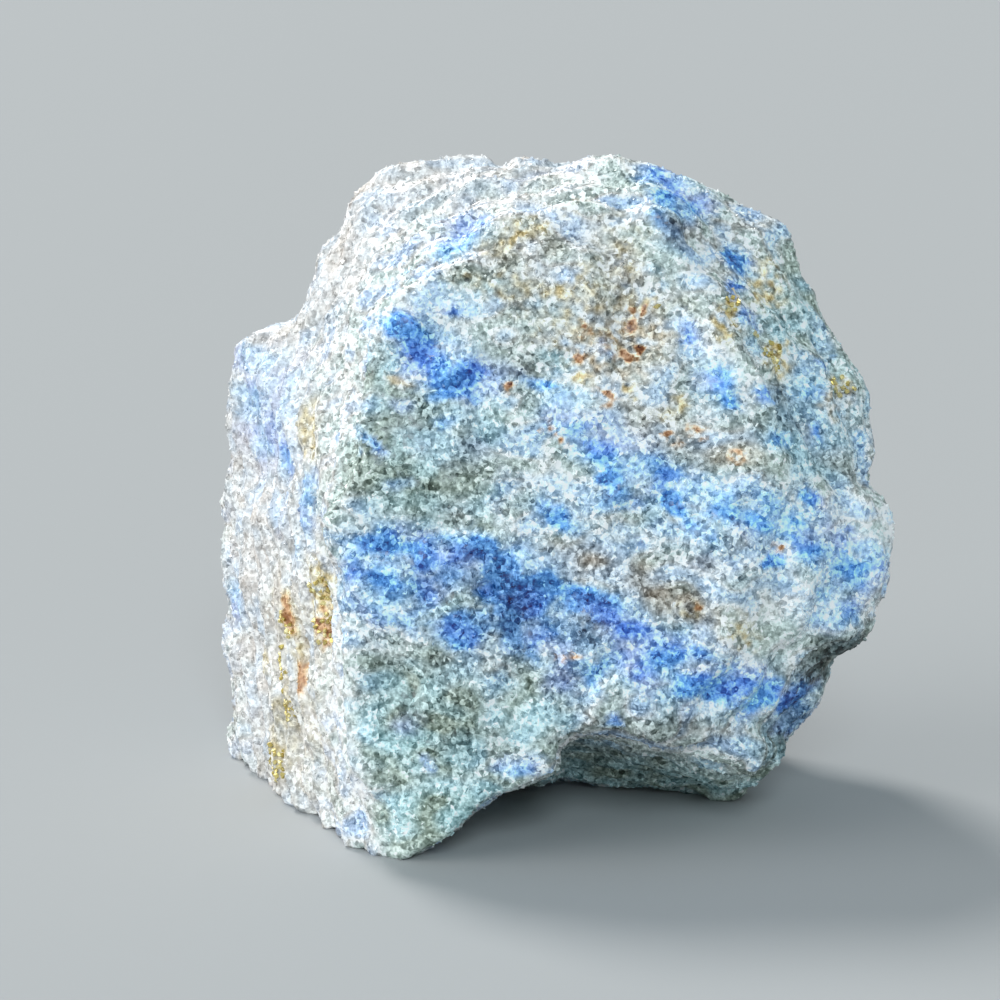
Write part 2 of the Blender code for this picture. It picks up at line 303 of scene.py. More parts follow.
    # paler and darker places, whatever the mineral: clean cleavage, and dirty or cracked rock, and in places
    # painted highlight and painted shade, marked below
    "pale": [
        # painted highlight along the sunlit ridge between the left and front faces
        ((-18.0, 1.0), (9.0, 2.0), 77, 0.8),
        ((-12.6, -2.5), (3.4, 4.2), 0, 0.6),
        ((28.4, 22.0), (4.6, 4.2), 0, 0.7),
        ((23.6, 18.0), (6.0, 3.6), 0, 0.75),
        ((21.0, 10.0), (2.6, 2.0), 0, 0.5),
        ((-12.0, 45.2), (3.8, 1.8), -10, 1.0),
        ((-9.4, 42.6), (1.2, 1.0), 0, 0.8),
        ((-4.6, 41.8), (1.6, 1.1), 0, 0.8),
        ((5.2, 42.8), (1.1, 0.9), 0, 1.0),
        ((-1.8, 32.2), (2.1, 1.4), 20, 0.95),
        ((-1.6, 35.2), (1.2, 0.9), 0, 0.7),
        ((1.6, 28.8), (1.7, 1.4), 30, 1.0),
        ((3.2, 32.6), (0.9, 0.9), 0, 0.6),
        ((11.4, 40.2), (1.6, 1.1), 0, 1.0),
        ((16.2, 33.6), (1.6, 0.8), 10, 0.8),
        ((15.8, 29.4), (1.7, 1.2), 20, 1.0),
        ((17.2, 28.2), (1.3, 1.1), 0, 0.8),
        ((21.2, 29.4), (2.0, 1.1), 15, 1.0),
        # painted highlight on the right bevel's edge
        ((20.6, 36.2), (3.2, 0.7), 72, 1.2),
        ((27.4, 26.4), (1.7, 0.9), 20, 1.0),
        ((24.6, 28.8), (2.6, 0.8), 15, 0.6),
        ((21.4, 26.8), (1.4, 0.8), 0, 0.6),
        ((20.0, 17.4), (2.5, 1.8), 0, 1.0),
        ((22.4, 15.2), (3.0, 1.8), 0, 1.0),
        ((19.4, 13.6), (2.4, 1.2), 0, 1.0),
        ((26.4, 18.4), (1.1, 0.9), 0, 0.7),
        ((11.2, 17.6), (1.2, 1.4), 0, 0.7),
        ((-13.8, 17.2), (1.4, 1.0), 0, 0.9),
        ((-1.6, 6.8), (2.4, 1.9), 20, 0.8),
        ((-4.4, 8.4), (1.6, 1.5), 0, 0.6),
        ((-13.8, 8.8), (0.6, 1.7), 0, 0.8),
        ((-2.6, 22.6), (2.2, 0.7), 30, 0.6),
        ((-4.6, 20.5), (1.0, 0.8), 0, 0.9),
        ((12.6, 6.2), (2.0, 1.0), 0, 0.6),
        ((14.6, 3.9), (2.4, 0.9), 0, 0.9),
        ((14.4, 48.6), (2.0, 2.6), 0, 0.9),
        ((4.4, 33.4), (7.0, 2.6), 44, 0.75),
        ((13.0, 28.6), (4.0, 2.2), 20, 0.35),
        ((21.4, 25.0), (4.2, 2.4), 20, 0.7),
        ((16.2, 39.2), (3.2, 2.8), 30, 1.1),
        ((-6.0, 40.8), (2.4, 1.8), 0, 0.7),
        ((20.2, 9.0), (3.0, 2.2), 0, 0.9),
        ((31.0, 24.4), (3.2, 3.6), 0, 0.9),
        ((23.2, 46.2), (2.6, 3.0), 0, 0.35),
        ((11.6, 56.0), (1.1, 0.8), 0, 0.8),
    ],
    "dark": [
        ((-6.2, 18.8), (7.0, 4.6), 5, 0.6),
        ((-2.4, 15.0), (2.8, 3.0), 0, 0.6),
        # painted shade over the upper left of the front, which turns away from the light
        ((-11.0, 30.0), (8.0, 7.0), 0, 0.3),
        ((3.4, 15.8), (3.4, 2.8), 0, 0.75),
        ((-3.2, 16.8), (3.6, 3.2), 0, 0.8),
        ((9.6, 6.6), (8.4, 2.2), 6, 0.75),
        ((2.0, 10.4), (3.0, 2.4), 0, 0.25),
        ((-10.8, 9.4), (4.8, 4.2), 0, 0.5),
        ((3.0, 9.0), (2.4, 2.0), 0, 0.3),
        # painted shade just right of the bevel's edge, where it turns from the light
        ((22.0, 35.4), (3.2, 0.9), 72, 0.9),
        ((10.4, 19.4), (4.0, 2.0), 15, 0.35),
        ((-2.0, 39.3), (2.6, 0.9), -18, 0.8),
        ((-1.0, 41.4), (1.4, 0.5), -15, 0.8),
        ((-4.3, 16.0), (0.6, 1.6), 0, 1.0),
        ((-5.8, 21.5), (1.5, 0.5), 0, 1.0),
        ((-7.0, 47.6), (2.6, 1.3), -20, 0.8),
        ((-3.0, 48.2), (2.8, 0.9), -10, 0.7),
        ((0.4, 49.8), (3.4, 1.0), -12, 0.9),
        ((3.4, 50.6), (2.0, 0.9), -15, 0.7),
        ((-2.0, 45.6), (4.0, 2.0), -15, 0.35),
        ((-9.0, 12.0), (3.6, 2.0), -10, 0.8),
        ((-13.4, 13.0), (2.2, 1.6), 0, 0.45),
        ((-7.4, 26.2), (2.4, 1.6), 0, 0.65),
        ((-9.4, 28.2), (2.2, 1.6), 0, 0.55),
        ((-15.0, 39.4), (1.0, 1.0), 0, 0.9),
        ((-17.0, 27.6), (1.7, 2.2), 0, 0.45),
        ((-8.2, 5.4), (1.8, 1.8), 0, 0.65),
        ((-11.6, 9.2), (1.6, 1.7), 30, 0.55),
        ((-11.6, 33.4), (2.0, 1.6), 0, 0.45),
        ((12.4, 32.0), (2.6, 1.2), 10, 0.7),
        ((14.4, 31.0), (1.8, 1.1), 0, 0.6),
        ((9.0, 26.8), (1.5, 1.8), 0, 0.5),
        ((13.2, 16.8), (1.4, 0.9), 0, 0.7),
        ((4.2, 21.8), (4.4, 1.6), 15, 0.4),
        ((18.6, 33.0), (1.8, 0.9), 20, 0.6),
        ((27.5, 30.4), (3.2, 1.1), 30, 0.5),
        ((24.0, 44.2), (2.6, 0.9), 10, 0.5),
        ((16.9, 46.6), (0.6, 0.7), 0, 0.9),
        ((11.8, 51.8), (2.4, 1.8), 0, 1.1),
        ((7.0, 43.0), (5.0, 5.0), 0, 0.3),
    ],
}
# Patches right through the rock: the same, with the place into the layers and half the depth in the middle.
DEEP_PATCHES = {
    "lazurite": [
        # shaded lower right corner, and the bands' ends, which run on round the side
        ((23.4, -17.0, 9.3), (3.8, 6.0, 1.7), -18, 1.0),
        ((28.4, -14.0, 20.8), (5.0, 12.0, 3.4), 0, 0.8),
        ((22.6, -10.0, 7.4), (4.6, 10.0, 2.6), 0, 0.6),
        # corner at the top right
        ((11.8, -19.0, 56.4), (3.2, 6.0, 3.4), 0, 0.6),
        ((11.4, -19.0, 55.0), (2.8, 6.0, 2.8), 0, 0.84),
        ((14.4, -17.6, 54.8), (2.2, 6.0, 1.9), 0, 0.8),
        ((10.4, -19.0, 57.4), (2.2, 5.0, 1.4), 20, 0.7),
        ((10.6, -22.0, 52.4), (2.2, 4.0, 1.6), 0, 0.8),
        ((17.6, -19.0, 49.6), (1.3, 4.0, 1.4), 0, 0.8),
        ((11.6, -21.0, 53.2), (2.6, 4.0, 1.6), -10, 0.45),
        ((10.3, -22.0, 47.0), (1.0, 4.0, 0.9), 0, 0.45),
        # streaks along the top edge
        ((-12.1, -22.0, 47.9), (1.5, 3.0, 0.7), -25, 0.75),
        ((-8.4, -22.0, 50.4), (3.2, 4.0, 1.6), -25, 0.62),
        ((-5.6, -21.0, 52.6), (1.6, 3.0, 0.9), -25, 0.65),
        ((-8.0, -20.0, 52.6), (2.4, 4.0, 1.5), -25, 0.5),
        ((-15.6, -16.0, 57.0), (2.2, 4.0, 1.6), -20, 0.3),
        # left face
        ((-26.0, -9.0, 36.0), (6.0, 10.0, 7.0), 0, 0.33),
        ((-23.6, -13.0, 26.0), (2.0, 4.0, 4.0), 0, 0.2),
        ((-29.0, -7.0, 41.8), (4.0, 7.0, 1.8), 0, 0.4),
        ((-28.0, -7.0, 37.6), (3.6, 5.0, 3.4), 0, 0.48),
        ((-26.6, -9.0, 34.0), (3.4, 7.0, 3.0), 0, 0.45),
        ((-24.0, -13.0, 32.0), (2.6, 3.0, 2.6), 0, 0.65),
        ((-21.9, -18.6, 27.4), (1.6, 1.7, 4.2), 10, 0.5),
        ((-25.4, -10.4, 27.0), (1.6, 2.0, 3.0), 0, 0.35),
        ((-23.4, -15.4, 22.6), (1.4, 1.6, 2.6), 0, 0.35),
        ((-30.6, 2.0, 18.0), (2.5, 3.4, 3.0), 0, 0.4),
        ((-29.4, -3.0, 6.4), (2.6, 4.0, 3.0), 0, 0.3),
        ((-29.4, -5.0, 15.0), (1.6, 1.6, 1.6), 0, 0.3),
    ],
    "diopside": [
        ((12.0, -8.0, 1.0), (22.0, 14.0, 7.0), 0, 1.0),
        ((27.0, -16.0, 12.8), (5.4, 9.0, 3.0), -28, 1.0),
        ((21.0, -14.0, 4.6), (6.0, 9.0, 3.2), 0, 0.9),
    ],
    "smoky": [
        ((-24.0, -12.0, 47.0), (6.0, 10.0, 6.0), 0, 0.2),
        ((-1.5, -21.0, 50.0), (7.5, 5.0, 2.6), -14, 0.8),
    ],
    "ochre": [
        ((-24.0, -13.0, 10.0), (6.0, 12.0, 16.0), 0, 0.22),
        ((-26.0, -8.0, 5.0), (4.0, 7.0, 6.0), 0, 0.4),
        ((-21.6, -18.4, 33.0), (2.2, 2.4, 4.0), 0, 0.5),
        ((-20.8, -18.8, 18.0), (2.2, 3.0, 5.2), 6, 0.62),
        ((-24.0, -12.0, 16.4), (2.6, 3.2, 3.0), 0, 0.6),
        ((-25.2, -10.0, 8.0), (1.8, 2.2, 5.0), 0, 0.6),
        ((-26.2, -7.4, 3.6), (2.4, 2.8, 1.8), 0, 0.7),
        ((-26.8, -3.6, 12.4), (1.8, 2.2, 1.8), 0, 0.5),
        ((-26.0, -8.0, 19.6), (2.0, 1.6, 2.0), 0, 0.3),
        ((-23.4, -13.6, 12.4), (1.9, 3.0, 3.4), 0, 0.6),
        ((-2.4, -21.0, 51.2), (5.0, 5.0, 1.8), -26, 0.62),
        ((1.6, -20.0, 53.2), (3.4, 4.0, 1.2), -28, 0.45),
    ],
    "rust": [
        ((-20.6, -19.4, 15.5), (1.6, 1.8, 2.6), 0, 0.85),
        ((-24.0, -12.0, 16.6), (1.5, 1.8, 1.6), 0, 0.8),
        ((3.0, -19.0, 54.8), (1.2, 3.0, 0.7), -30, 0.5),
        ((-12.5, -16.0, 58.7), (0.9, 3.0, 0.6), 0, 0.7),
        ((-20.0, -23.0, -2.5), (1.4, 2.0, 1.2), 0, 0.5),
        ((-24.6, -12.0, 4.4), (1.4, 2.2, 2.2), 0, 0.8),
        ((-23.2, -14.0, 11.0), (1.1, 2.2, 2.4), 0, 0.8),
    ],
    # clean marble on the left and top faces, kept even there as painted glare that stands in for strong light
    # washing them out
    "marble_and_glare": [
        ((-27.0, -8.0, 20.0), (11.0, 20.0, 60.0), 0, 1.0),
        ((-10.0, -4.0, 62.0), (30.0, 26.0, 14.0), -14, 1.0),
        ((-20.0, -13.0, 50.0), (9.0, 9.0, 12.0), -14, 1.0),
    ],
    "pale": [
        # painted highlight along the sunlit ridge between the left and front faces, from the foot up
        ((-22.0, -17.5, 4.0), (3.0, 5.0, 7.0), 0, 0.5),
        ((-19.0, -21.0, 8.0), (2.2, 3.0, 8.0), 0, 0.8),
        ((-18.4, -21.0, 28.0), (1.6, 2.5, 14.0), 0, 0.4),
        ((-24.0, -9.0, 47.5), (7.0, 9.0, 1.6), -24, 0.6),
        ((-14.0, -20.0, 46.8), (3.0, 4.0, 2.0), -20, 0.7),
        ((13.6, -18.0, 56.6), (2.8, 5.0, 2.2), 0, 0.5),
        ((30.0, -14.0, 24.8), (4.0, 14.0, 4.0), 0, 1.2),
    ],
    "dark": [
        ((-26.0, -8.0, 5.0), (4.0, 7.0, 6.0), 0, 0.3),
        ((-3.0, -21.0, 49.6), (5.0, 4.0, 1.6), -14, 0.5),
        # painted shade on the lower right corner's facets, which face down and away from the lights
        ((27.0, -17.5, 12.4), (5.4, 8.0, 2.6), -28, 1.7),
        ((22.0, -15.0, 5.2), (5.0, 9.0, 2.6), -30, 0.9),
        ((23.4, -15.0, 7.4), (4.0, 7.0, 2.0), -18, 0.6),
        # darker underside: partly dark rock, partly painted shade under the rock
        ((6.0, -14.0, 2.0), (9.0, 10.0, 4.5), 0, 0.6),
        ((11.8, -20.0, 51.8), (2.4, 5.0, 1.3), 0, 0.8),
    ],
}
MINERALS = ("lazurite", "diopside", "smoky", "marble_and_glare", "ochre", "rust", "pale", "dark")
# A patch fades in from 1.35 to 0.3 of its half-size from its middle, and its outline wanders by up to about a
# millimetre: the wander's size, and for each direction its place in the noise and its reach.
PATCH_FADE = (1.35, 0.3)
# Noise in the rock changes at these parts of its rate along, into and through the layers.
CLOUD_SCALE = (0.5, 0.8, 1.0)
WANDER_SIZE = 2.2
WANDER = ((3, 1.1), (17, 0.6), (41, 0.8))
# Front patches show where the skin is this far out, as the front face is, or this far to the right, and never
# at the back, all in millimetres.
FACE_FADE, RIGHT_FADE, BACK_FADE = (20.6, 21.6), (3.0, 8.0), (2.0, 9.0)
# Away from the front and from the pale left and top faces, the minerals lie in patches of their own: their
# size in millimetres, their place in the noise, the noise that they fade in between, and their strength.
HIDDEN_PATCHES = (
    ("lazurite", 9.0, 60, (0.02, 0.6), 0.95),
    ("diopside", 11.0, 80, (-0.1, 0.4), 0.9),
    ("smoky", 8.0, 100, (0.1, 0.6), 0.8),
    ("ochre", 6.0, 120, (0.3, 0.9), 0.6),
)
# They begin this far into the layers, clear of the left face, and still further in they are all over.
SIDE_FADE, LEFT_FADE, REAR_FADE = (-6.0, 4.0), (-24.0, -12.0), (8.0, 14.0)

# Patterns in the rock: size in millimetres, place in the noise, detail, and whether it follows the layers.
PATTERNS = {
    "hue": (2.1, 0.0, 0.0, True),
    "tint": (2.8, 19.0, 1.0, True),
    "blueness": (1.8, 31.0, 0.5, True),
    "violet": (2.8, 53.0, 0.0, True),
    "clouds": (1.7, 77.0, 1.0, True),
    "mottle": (0.42, 97.0, 2.0, False),
    "specks": (0.85, 13.0, 0.0, False),
}
# Minerals that stain the rock, in the order in which they cover it: the pattern that pushes their share, how
# hard, how much room it has outside their patches, and how fully they cover.
STAINS = {
    "ochre": ("specks", 2.4, 0.03, 1.5),
    "lazurite": ("blueness", 0.9, 0.05, 1.35),
    "rust": ("specks", 3.6, 0.0, 1.3),
}
# Colours, each with its place: of the ground along the hue or tint pattern, of a stain from a trace of it to
# the whole rock, and of pyrite from one cube to the next.
TONES = {
    "calcite": [(0.34, "#bccac5"), (0.43, "#cfd8d6"), (0.5, "#d8d6d1"), (0.57, "#cfd8e2"), (0.68, "#b4cdee")],
    "marble_and_glare": [(0.34, "#d9d1ca"), (0.46, "#d8d4d1"), (0.56, "#d6d7d8"), (0.68, "#ced7e2")],
    "diopside": [(0.34, "#94a496"), (0.48, "#a4c0be"), (0.66, "#b2d6d8")],
    "smoky": [(0.34, "#b4a594"), (0.48, "#b4b1ac"), (0.64, "#b8c3cf")],
    "ochre": [(0.0, "#dcd6c8"), (0.5, "#dacca8"), (1.0, "#c8ae70")],
    "lazurite": [(0.0, "#bcdcf4"), (0.3, "#a6d0f6"), (0.6, "#80bbf6"), (0.85, "#5da1ec"), (1.0, "#458ad0")],
    "violet": [(0.0, "#c4d0f2"), (0.3, "#aec4f6"), (0.6, "#8ab0f6"), (0.85, "#6598f4"), (1.0, "#4b83dd")],
    "rust": [(0.0, "#e6d2bc"), (0.5, "#dcae7e"), (1.0, "#a26c42")],
    "pyrite": [(0.0, "#a4904a"), (0.5, "#dcc878"), (1.0, "#f8f0c2")],
}
# Grains in the lump's own skin, in millimetres, which show between those of the coats.
LUMP_GRAIN = 0.5
# A layered pattern changes at these parts of an even one's rate, in the same order, so that its patches are
# long along the layers.
LAYER_SCALE = (0.62, 0.9, 1.0)
# Steps from dark to pale as the eye sees them: between grains, in spots and in clouds, what pale rock and
# painted highlight add, and what part dark rock and painted shade take away. No grain is quite black or
# white.
GRAIN_STEP, SPOT_STEP, CLOUD_STEP, PALE_STEP, DARK_PART = 0.44, 1.0, 0.3, 0.10, 0.3
EYE_GAMMA, DARKEST, PALEST = 2.2, 0.05, 0.98
# How strong all steps are, and how much weaker in clean marble and in pale rock, where that evenness is
# partly painted glare and painted highlight.
STEPS, MARBLE_AND_GLARE_STEPS, PALE_STEPS = 1.05, 0.4, 0.25
# How fast a stain's pattern gets room as its share grows, and how much less it has in clean marble, where the
# evenness is partly painted glare.
STAIN_ROOM, MARBLE_AND_GLARE_STAINS = 1.5, 0.66
# How much of the lazurite leans to violet, and how sharply that changes.
VIOLET_PART, VIOLET_EDGE = 0.22, 4.0

# Clusters of pyrite: centre in the row frame and radius, in millimetres.
PYRITE = [
    ((21.1, -11.8, 44.7), 1.8),
    ((27.5, -9.4, 41.6), 1.6),
    ((17.3, -12.4, 49.4), 1.2),
    ((19.0, -12.1, 47.1), 1.0),
    ((-20.7, -14.1, 23.0), 1.8),
    ((-20.4, -14.8, 19.8), 1.9),
    ((-24.5, -7.4, 18.1), 1.7),
    ((-25.3, -4.9, 13.4), 1.8),
    ((-24.6, -6.4, 9.6), 1.8),
    ((-25.6, -4.6, 3.6), 2.3),
    ((10.0, -13.3, 49.5), 0.9),
]
# Small cubes, closer and standing further out than the rock's grains.
PYRITE_COAT = dict(spacing=0.42, size=0.62, sink=(0.05, -0.12), seed=41, clusters=PYRITE)

TABLE_SIZE, TABLE_COLOUR = 60.0, "#a9abac"
ROOM_COLOUR, ROOM_STRENGTH = "#dde8ee", 0.45
# A key from above and behind on the left, a wide side light and a cool front fill: the direction to each, its
# strength, how wide it looks in degrees, and its colour.
LIGHTS = {
    "key": ((-0.35, 0.48, 0.80), 2.0, 14, (1.0, 0.98, 0.95)),
    "side": ((-0.92, -0.25, 0.30), 1.8, 50, (1.0, 1.0, 0.99)),
    "fill": ((0.05, -0.82, 0.57), 1.2, 20, (0.80, 0.94, 1.0)),
}
# Where the camera is in millimetres, how far down it looks in degrees, and its lens.
CAMERA_PLACE, CAMERA_TILT, CAMERA_LENS = (-4.03, -245.1, 80.8), 12, 92.7


def linear(code):
    """An sRGB hex colour as linear RGBA."""
    parts = [int(code[i : i + 2], 16) / 255 for i in (1, 3, 5)]
    return (*[c / 12.92 if c <= 0.04045 else ((c + 0.055) / 1.055) ** 2.4 for c in parts], 1.0)


def add(tree, kind, inputs=None, out=0, stops=(), **settings):
    """Adds a node with its settings and colour stops, links or sets its inputs, and gives back one output."""
    node = tree.nodes.new(kind)
    for name, value in settings.items():
        setattr(node, name, value)
    for key, value in (inputs or {}).items():
        if isinstance(value, bpy.types.NodeSocket):
            tree.links.new(value, node.inputs[key])
        else:
            node.inputs[key].default_value = value
    if stops:
        band = node.color_ramp.elements
        while len(band) < len(stops):
            band.new(0.5)
        for element, (place, code) in zip(band, stops):
            element.position, element.color = place, linear(code)
    return node.outputs[out] if len(node.outputs) else node


def fade(values, start, end):
    """Smoothly from 0 at start to 1 at end."""
    part = np.clip((values - start) / (end - start), 0.0, 1.0)
    return part * part * (3 - 2 * part)


def turned(across, up, degrees):
    """The two coordinates along and across a direction that runs down to the right."""
    angle = math.radians(degrees)
    cos, sin = math.cos(angle), math.sin(angle)
    return across * cos - up * sin, across * sin + up * cos


def cloud(places, size, shift):
    """Rock noise about zero, as patches of this size in millimetres that are long along the layers."""
    along, through = turned(places[:, 0], places[:, 2], LAYERS_DIP)
    stretched = np.stack([along, places[:, 1], through], axis=1) * CLOUD_SCALE / size + shift
    return np.array([noise.fractal(Vector(place), 0.7, 2.0, 4) for place in stretched])


def mineral_shares(skin):
    """How much of the rock each mineral makes up at each point of the skin, and where highlight, glare and
    shade are painted, from the patches above.
    """
    count = len(skin.vertices)
    row = np.empty(count * 3)
    skin.vertices.foreach_get("co", row)
    row = row.reshape(count, 3) / MM
    lean = math.radians(LAYERS_LEAN)
    into = row[:, 1] * math.cos(lean) - row[:, 2] * math.sin(lean)
    up = row[:, 1] * math.sin(lean) + row[:, 2] * math.cos(lean)
    places = np.stack([row[:, 0], into, up], axis=1)
    facing = fade(row @ np.array(FRONT_NORMAL), *FACE_FADE)
    front = np.maximum(facing, fade(row[:, 0], *RIGHT_FADE)) * fade(-into, *BACK_FADE)

    wander = [cloud(places, WANDER_SIZE, shift) * reach for shift, reach in WANDER]
    wandered = places + np.stack(wander, axis=1)
    shares = {}
    for mineral in MINERALS:
        share = np.zeros(count)
        for (across, high), (length, width), turn, strength in FRONT_PATCHES.get(mineral, ()):
            along, through = turned(wandered[:, 0] - across, wandered[:, 2] - high, turn)
            away = np.sqrt((along / length) ** 2 + (through / width) ** 2)
            share = np.maximum(share, front * strength * fade(away, *PATCH_FADE))
        # Marble, with its painted glare, stops at the edge of the front.
        shown = 1 - front if mineral == "marble_and_glare" else 1.0
        for centre, (length, depth, width), turn, strength in DEEP_PATCHES.get(mineral, ()):
            apart = wandered - np.array(centre)
            along, through = turned(apart[:, 0], apart[:, 2], turn)
            away = np.sqrt((along / length) ** 2 + (apart[:, 1] / depth) ** 2 + (through / width) ** 2)
            share = np.maximum(share, shown * strength * fade(away, *PATCH_FADE))
        shares[mineral] = share
    shares["diopside"] *= 1 - shares["marble_and_glare"]

    hidden = fade(into, *SIDE_FADE) * fade(row[:, 0], *LEFT_FADE)
    hidden = np.maximum(hidden, fade(into, *REAR_FADE))
    for mineral, size, shift, edge, strength in HIDDEN_PATCHES:
        patch = fade(cloud(places, size, shift), *edge)
        shares[mineral] = np.maximum(shares[mineral], strength * hidden * patch)
    return shares


def bare_material(name):
    """A material without nodes."""
    mat = bpy.data.materials.new(name)
    mat.use_nodes = True
    mat.node_tree.nodes.clear()
    return mat


def rock_material(name, by_grain):
    """Fresh-broken lapis rock: glassy interlocked grains, so pale and dark facets sparkle over slow hues."""
    mat = bare_material(name)
    tree = mat.node_tree
    surface = add(tree, "ShaderNodeTexCoord", out=3)
    share = {m: add(tree, "ShaderNodeAttribute", out=2, attribute_name=m) for m in MINERALS}

    # Which grain this is: on a coat its own middle, and on the lump a cell of a Voronoi pattern.
    if by_grain:
        grain = add(tree, "ShaderNodeAttribute", out=1, attribute_name="centre")
    else:
        cells = {"Vector": surface, "Scale": 1 / (LUMP_GRAIN * MM)}
        grain = add(tree, "ShaderNodeTexVoronoi", cells, out=2)
    place = add(tree, "ShaderNodeVectorMath", {0: grain, "Scale": 1 / MM}, operation="SCALE")
    dice = add(tree, "ShaderNodeTexWhiteNoise", {0: place}, noise_dimensions="3D")

    # Patterns about zero, in millimetres, even or stretched along the layers.
    even = add(tree, "ShaderNodeVectorMath", {0: surface, "Scale": 1 / MM}, operation="SCALE")
    turn = (math.radians(LAYERS_LEAN), math.radians(-LAYERS_DIP), 0)
    lie = {"Vector": surface, "Rotation": turn, "Scale": [part / MM for part in LAYER_SCALE]}
    layered = add(tree, "ShaderNodeMapping", lie)
    pattern = {}
    for key, (size, shift, detail, along_layers) in PATTERNS.items():
        source = layered if along_layers else even
        moved = add(tree, "ShaderNodeVectorMath", {0: source, 1: (shift, 0, shift)}, operation="ADD")
        noisy = {"Vector": moved, "Scale": 1 / size, "Detail": detail, "Roughness": 0.6}
        level = add(tree, "ShaderNodeTexNoise", noisy)
        pattern[key] = add(tree, "ShaderNodeMath", {0: level, 1: 0.5}, operation="SUBTRACT")

    # Clean marble is stained more evenly, and both it and pale rock have smaller steps between grains; in
    # places this evenness is painted glare and painted highlight, for strong light washing the rock out.
    calm = add(
        tree, "ShaderNodeMath", {0: share["marble_and_glare"], 1: -MARBLE_AND_GLARE_STAINS, 2: 1.0}, operation="MULTIPLY_ADD"
    )
    steps = add(
        tree, "ShaderNodeMath", {0: share["marble_and_glare"], 1: -MARBLE_AND_GLARE_STEPS, 2: STEPS}, operation="MULTIPLY_ADD"
    )
    steps = add(
        tree, "ShaderNodeMath", {0: share["pale"], 1: -PALE_STEPS, 2: steps}, operation="MULTIPLY_ADD"
    )

    # The ground is calcite, and each mineral covers it and those before as far as it makes up the rock.
    level = add(tree, "ShaderNodeMath", {0: pattern["hue"], 1: 0.5}, operation="ADD")
    broad = add(tree, "ShaderNodeMath", {0: pattern["tint"], 1: 0.5}, operation="ADD")
    hue = add(tree, "ShaderNodeValToRGB", {0: level}, stops=TONES["calcite"])
    for mineral, source in (("marble_and_glare", broad), ("diopside", level), ("smoky", level)):
        tone = add(tree, "ShaderNodeValToRGB", {0: source}, stops=TONES[mineral])
        hue = add(tree, "ShaderNodeMix", {0: share[mineral], 6: hue, 7: tone}, 2, data_type="RGBA")

    # A stain's share is pushed up and down by its pattern, the more so the more there is of it. The greater
    # the share, the deeper the colour, and lazurite leans to violet here and there.
    violet = add(
        tree,
        "ShaderNodeMath",
        {0: pattern["violet"], 1: VIOLET_EDGE, 2: VIOLET_PART},
        operation="MULTIPLY_ADD",
        use_clamp=True,
    )
    for mineral, (key, push, ground, cover) in STAINS.items():
        room = add(
            tree,
            "ShaderNodeMath",
            {0: share[mineral], 1: STAIN_ROOM, 2: ground},
            operation="MULTIPLY_ADD",
            use_clamp=True,
        )
        change = add(tree, "ShaderNodeMath", {0: pattern[key], 1: push}, operation="MULTIPLY")
        for limit in (room, calm):
            change = add(tree, "ShaderNodeMath", {0: change, 1: limit}, operation="MULTIPLY")
        pushed = add(
            tree, "ShaderNodeMath", {0: share[mineral], 1: change}, operation="ADD", use_clamp=True
        )
        tone = add(tree, "ShaderNodeValToRGB", {0: pushed}, stops=TONES[mineral])
        if mineral == "lazurite":
            royal = add(tree, "ShaderNodeValToRGB", {0: pushed}, stops=TONES["violet"])
            tone = add(tree, "ShaderNodeMix", {0: violet, 6: tone, 7: royal}, 2, data_type="RGBA")
        much = add(tree, "ShaderNodeMath", {0: pushed, 1: cover}, operation="MULTIPLY", use_clamp=True)
        hue = add(tree, "ShaderNodeMix", {0: much, 6: hue, 7: tone}, 2, data_type="RGBA")

    # Each grain and each spot in it is paler or darker than its hue by the same step to the eye, whatever
    # the hue. Pale rock and painted highlight lift it, and dark rock and painted shade dim the hue as a
    # whole.
    step = add(tree, "ShaderNodeMath", {0: dice, 1: 0.5}, operation="SUBTRACT")
    step = add(tree, "ShaderNodeMath", {0: step, 1: GRAIN_STEP}, operation="MULTIPLY")
    for key, height in (("mottle", SPOT_STEP), ("clouds", CLOUD_STEP)):
        step = add(tree, "ShaderNodeMath", {0: pattern[key], 1: height, 2: step}, operation="MULTIPLY_ADD")
    step = add(tree, "ShaderNodeMath", {0: step, 1: steps}, operation="MULTIPLY")
    step = add(tree, "ShaderNodeMath", {0: share["pale"], 1: PALE_STEP, 2: step}, operation="MULTIPLY_ADD")
    dim = add(
        tree,
        "ShaderNodeMath",
        {0: share["dark"], 1: -DARK_PART, 2: 1.0},
        operation="MULTIPLY_ADD",
        use_clamp=True,
    )
    seen = add(tree, "ShaderNodeGamma", {0: hue, 1: 1 / EYE_GAMMA})
    seen = add(tree, "ShaderNodeVectorMath", {0: seen, "Scale": dim}, operation="SCALE")
    seen = add(tree, "ShaderNodeVectorMath", {0: seen, 1: step}, operation="ADD")
    for limit, operation in ((DARKEST, "MAXIMUM"), (PALEST, "MINIMUM")):
        seen = add(tree, "ShaderNodeVectorMath", {0: seen, 1: (limit,) * 3}, operation=operation)
    colour = add(tree, "ShaderNodeGamma", {0: seen, 1: EYE_GAMMA})

    rough = add(tree, "ShaderNodeMapRange", {"Value": dice, "To Min": 0.25, "To Max": 0.6})
    glassy = {"Base Color": colour, "Roughness": rough, "IOR": 1.6}
    shader = add(tree, "ShaderNodeBsdfPrincipled", glassy)
    add(tree, "ShaderNodeOutputMaterial", {0: shader})
    return mat


